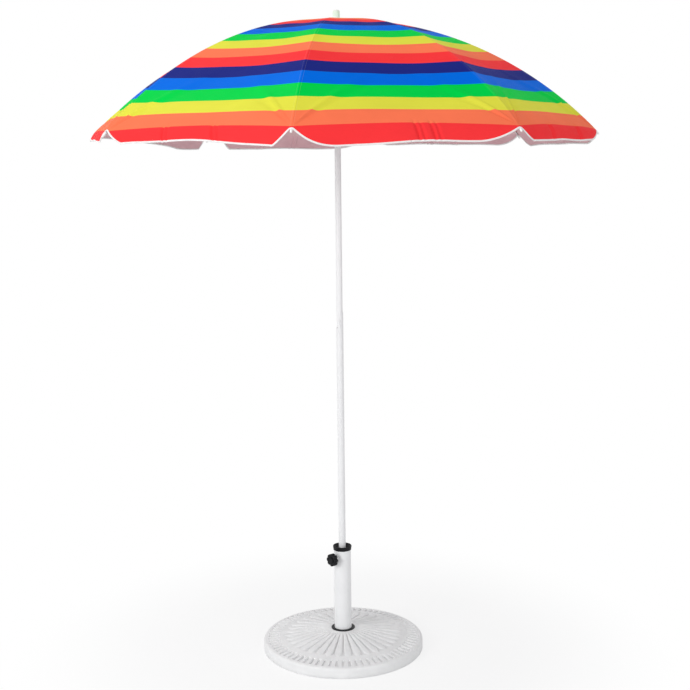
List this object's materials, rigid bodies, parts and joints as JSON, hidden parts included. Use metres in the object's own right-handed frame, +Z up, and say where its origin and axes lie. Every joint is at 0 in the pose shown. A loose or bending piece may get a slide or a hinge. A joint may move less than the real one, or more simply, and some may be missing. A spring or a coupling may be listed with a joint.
{
  "type": "beach umbrella",
  "caption": "Beach umbrella with a rainbow-striped gored canopy on a folding rib frame, a two-part white pole with a tilt joint, and a round weighted stand with a clamp knob",
  "frame": {"origin": "centre of the underside of the stand's base, on the floor", "axes": "+Z runs up along the pole's axis; -Y points along the first rib, towards the front; +X is the side that the tilt bracket's back is on, so the upper pole tilts towards -X"},
  "size_m": [1.5522, 1.5522, 1.9923],
  "materials": {
    "pole_paint": "gloss white paint on steel tube",
    "base_resin": "white cast concrete-and-resin base, slightly rough",
    "black_plastic": "moulded black plastic",
    "white_plastic": "moulded white plastic",
    "bright_steel": "plated steel",
    "canopy_cloth": "woven polyester in rainbow bands, silver-lilac coating inside"
  },
  "bodies": {
    "base": {"base_weight": "base_resin", "base_tube": "pole_paint", "foot_ring": "black_plastic", "base_bolt": "bright_steel", "pole_socket": "black_plastic"},
    "pole_bush": {"reducing_bush": "black_plastic"},
    "clamp_pad": {"pressure_pad": "bright_steel"},
    "clamp_handle": {"clamp_screw": "bright_steel", "clamp_knob": "black_plastic"},
    "lower_mast": {"lower_pole": "pole_paint", "tilt_bracket": "pole_paint", "tilt_pin": "pole_paint"},
    "upper_mast": {"upper_pole": "pole_paint", "tilt_spring": "bright_steel", "crown": "white_plastic", "crown_wire": "bright_steel", "finial": "white_plastic"},
    "tilt_release": {"tilt_button": "pole_paint"},
    "runner_sleeve": {"runner": "white_plastic"},
    "runner_lock": {"runner_catch": "bright_steel"},
    "rib_arm_1": {"rib_1": "bright_steel", "rib_tip_1": "white_plastic", "rib_rivet_1": "bright_steel", "canopy_1": "canopy_cloth"},
    "stretcher_arm_1": {"stretcher_1": "bright_steel"},
    "rib_arm_2": {"rib_2": "bright_steel", "rib_tip_2": "white_plastic", "rib_rivet_2": "bright_steel", "canopy_2": "canopy_cloth"},
    "stretcher_arm_2": {"stretcher_2": "bright_steel"},
    "rib_arm_3": {"rib_3": "bright_steel", "rib_tip_3": "white_plastic", "rib_rivet_3": "bright_steel", "canopy_3": "canopy_cloth"},
    "stretcher_arm_3": {"stretcher_3": "bright_steel"},
    "rib_arm_4": {"rib_4": "bright_steel", "rib_tip_4": "white_plastic", "rib_rivet_4": "bright_steel", "canopy_4": "canopy_cloth"},
    "stretcher_arm_4": {"stretcher_4": "bright_steel"},
    "rib_arm_5": {"rib_5": "bright_steel", "rib_tip_5": "white_plastic", "rib_rivet_5": "bright_steel", "canopy_5": "canopy_cloth"},
    "stretcher_arm_5": {"stretcher_5": "bright_steel"},
    "rib_arm_6": {"rib_6": "bright_steel", "rib_tip_6": "white_plastic", "rib_rivet_6": "bright_steel", "canopy_6": "canopy_cloth"},
    "stretcher_arm_6": {"stretcher_6": "bright_steel"},
    "rib_arm_7": {"rib_7": "bright_steel", "rib_tip_7": "white_plastic", "rib_rivet_7": "bright_steel", "canopy_7": "canopy_cloth"},
    "stretcher_arm_7": {"stretcher_7": "bright_steel"},
    "rib_arm_8": {"rib_8": "bright_steel", "rib_tip_8": "white_plastic", "rib_rivet_8": "bright_steel", "canopy_8": "canopy_cloth"},
    "stretcher_arm_8": {"stretcher_8": "bright_steel"}
  },
  "joints": [
    {"name": "pole_swivel", "type": "hinge", "parent": "base", "child": "pole_bush", "pos_m": [0, 0, 0.3], "axis": [0, 0, 1], "continuous": true},
    {"name": "pole_lift", "type": "slide", "parent": "pole_bush", "child": "lower_mast", "axis": [0, 0, 1], "range_m": [0, 0.3]},
    {"name": "clamp_travel", "type": "slide", "parent": "base", "child": "clamp_pad", "axis": [-0.5592, -0.829, 0], "range_m": [0, 0.005]},
    {"name": "clamp_turn", "type": "hinge", "parent": "clamp_pad", "child": "clamp_handle", "pos_m": [-0.02516, -0.03731, 0.3], "axis": [-0.5592, -0.829, 0], "range_deg": [0, 1440]},
    {"name": "pole_tilt", "type": "hinge", "parent": "lower_mast", "child": "upper_mast", "pos_m": [0, 0, 1.044], "axis": [0, -1, 0], "range_deg": [0, 35]},
    {"name": "tilt_button_press", "type": "slide", "parent": "upper_mast", "child": "tilt_release", "axis": [0, 1, 0], "range_m": [0, 0.003], "stiffness_N_per_m": 800, "springref_m": -0.004, "deforming": ["tilt_spring"]},
    {"name": "runner_catch_press", "type": "slide", "parent": "upper_mast", "child": "runner_lock", "axis": [1, 0, 0], "range_m": [0, 0.0032], "stiffness_N_per_m": 600, "springref_m": -0.003},
    {"name": "runner_slide", "type": "slide", "parent": "upper_mast", "child": "runner_sleeve", "axis": [0, 0, -1], "range_m": [0, 0.54358], "deforming": ["canopy_1", "canopy_2", "canopy_3", "canopy_4", "canopy_5", "canopy_6", "canopy_7", "canopy_8", "runner_catch"]},
    {"name": "rib_fold_1", "type": "hinge", "parent": "upper_mast", "child": "rib_arm_1", "pos_m": [0, -0.017, 1.9565], "axis": [1, 0, 0], "range_deg": [0, 65.6]},
    {"name": "stretcher_fold_1", "type": "hinge", "parent": "rib_arm_1", "child": "stretcher_arm_1", "pos_m": [0, -0.39562, 1.87131], "axis": [-1, 0, 0], "range_deg": [0, 123.7]},
    {"name": "rib_fold_2", "type": "hinge", "parent": "upper_mast", "child": "rib_arm_2", "pos_m": [0.01202, -0.01202, 1.9565], "axis": [0.7071, 0.7071, 0], "range_deg": [0, 65.6]},
    {"name": "stretcher_fold_2", "type": "hinge", "parent": "rib_arm_2", "child": "stretcher_arm_2", "pos_m": [0.27975, -0.27975, 1.87131], "axis": [-0.7071, -0.7071, 0], "range_deg": [0, 123.7]},
    {"name": "rib_fold_3", "type": "hinge", "parent": "upper_mast", "child": "rib_arm_3", "pos_m": [0.017, 0, 1.9565], "axis": [0, 1, 0], "range_deg": [0, 65.6]},
    {"name": "stretcher_fold_3", "type": "hinge", "parent": "rib_arm_3", "child": "stretcher_arm_3", "pos_m": [0.39562, 0, 1.87131], "axis": [0, -1, 0], "range_deg": [0, 123.7]},
    {"name": "rib_fold_4", "type": "hinge", "parent": "upper_mast", "child": "rib_arm_4", "pos_m": [0.01202, 0.01202, 1.9565], "axis": [-0.7071, 0.7071, 0], "range_deg": [0, 65.6]},
    {"name": "stretcher_fold_4", "type": "hinge", "parent": "rib_arm_4", "child": "stretcher_arm_4", "pos_m": [0.27975, 0.27975, 1.87131], "axis": [0.7071, -0.7071, 0], "range_deg": [0, 123.7]},
    {"name": "rib_fold_5", "type": "hinge", "parent": "upper_mast", "child": "rib_arm_5", "pos_m": [0, 0.017, 1.9565], "axis": [-1, 0, 0], "range_deg": [0, 65.6]},
    {"name": "stretcher_fold_5", "type": "hinge", "parent": "rib_arm_5", "child": "stretcher_arm_5", "pos_m": [0, 0.39562, 1.87131], "axis": [1, 0, 0], "range_deg": [0, 123.7]},
    {"name": "rib_fold_6", "type": "hinge", "parent": "upper_mast", "child": "rib_arm_6", "pos_m": [-0.01202, 0.01202, 1.9565], "axis": [-0.7071, -0.7071, 0], "range_deg": [0, 65.6]},
    {"name": "stretcher_fold_6", "type": "hinge", "parent": "rib_arm_6", "child": "stretcher_arm_6", "pos_m": [-0.27975, 0.27975, 1.87131], "axis": [0.7071, 0.7071, 0], "range_deg": [0, 123.7]},
    {"name": "rib_fold_7", "type": "hinge", "parent": "upper_mast", "child": "rib_arm_7", "pos_m": [-0.017, 0, 1.9565], "axis": [0, -1, 0], "range_deg": [0, 65.6]},
    {"name": "stretcher_fold_7", "type": "hinge", "parent": "rib_arm_7", "child": "stretcher_arm_7", "pos_m": [-0.39562, 0, 1.87131], "axis": [0, 1, 0], "range_deg": [0, 123.7]},
    {"name": "rib_fold_8", "type": "hinge", "parent": "upper_mast", "child": "rib_arm_8", "pos_m": [-0.01202, -0.01202, 1.9565], "axis": [0.7071, -0.7071, 0], "range_deg": [0, 65.6]},
    {"name": "stretcher_fold_8", "type": "hinge", "parent": "rib_arm_8", "child": "stretcher_arm_8", "pos_m": [-0.27975, -0.27975, 1.87131], "axis": [-0.7071, 0.7071, 0], "range_deg": [0, 123.7]}
  ],
  "couplings": [
    {"joint": "clamp_travel", "follows": "clamp_turn", "m_per_rad": 0.000199},
    {"joint": "rib_fold_1", "follows": "runner_slide", "rad_per_m": 2.1031},
    {"joint": "stretcher_fold_1", "follows": "runner_slide", "rad_per_m": 3.9686},
    {"joint": "rib_fold_2", "follows": "runner_slide", "rad_per_m": 2.1031},
    {"joint": "stretcher_fold_2", "follows": "runner_slide", "rad_per_m": 3.9686},
    {"joint": "rib_fold_3", "follows": "runner_slide", "rad_per_m": 2.1031},
    {"joint": "stretcher_fold_3", "follows": "runner_slide", "rad_per_m": 3.9686},
    {"joint": "rib_fold_4", "follows": "runner_slide", "rad_per_m": 2.1031},
    {"joint": "stretcher_fold_4", "follows": "runner_slide", "rad_per_m": 3.9686},
    {"joint": "rib_fold_5", "follows": "runner_slide", "rad_per_m": 2.1031},
    {"joint": "stretcher_fold_5", "follows": "runner_slide", "rad_per_m": 3.9686},
    {"joint": "rib_fold_6", "follows": "runner_slide", "rad_per_m": 2.1031},
    {"joint": "stretcher_fold_6", "follows": "runner_slide", "rad_per_m": 3.9686},
    {"joint": "rib_fold_7", "follows": "runner_slide", "rad_per_m": 2.1031},
    {"joint": "stretcher_fold_7", "follows": "runner_slide", "rad_per_m": 3.9686},
    {"joint": "rib_fold_8", "follows": "runner_slide", "rad_per_m": 2.1031},
    {"joint": "stretcher_fold_8", "follows": "runner_slide", "rad_per_m": 3.9686}
  ]
}
